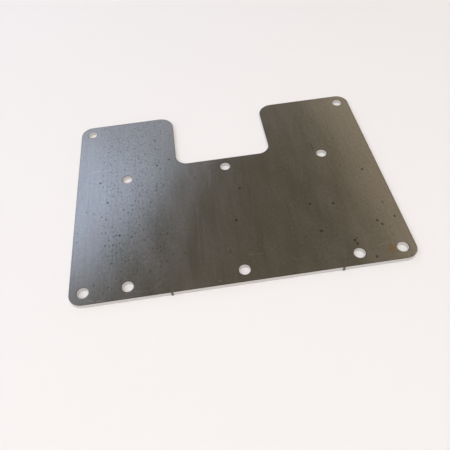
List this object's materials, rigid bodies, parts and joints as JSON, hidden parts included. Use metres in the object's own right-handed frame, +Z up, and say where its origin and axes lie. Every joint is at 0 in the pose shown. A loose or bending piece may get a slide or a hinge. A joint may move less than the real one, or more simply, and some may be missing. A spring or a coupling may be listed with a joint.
{
  "type": "notched cover plate",
  "caption": "Flat rectangular sheet-steel cover plate with rounded corners, a wide rounded notch in its back edge and plain round fixing holes.",
  "frame": {"origin": "centre of the underside, midway between the side edges and between the front and back edges", "axes": "+X along the plate's width, +Y towards the notched back edge, +Z up through the sheet"},
  "size_m": [0.15, 0.1143, 0.002],
  "materials": {
    "mill_steel": "bare rolled sheet, satin grey with fine pits, faint rolling lines and brighter laser-cut edges"
  },
  "bodies": {
    "root": {"cover_plate": "mill_steel"}
  },
  "joints": []
}
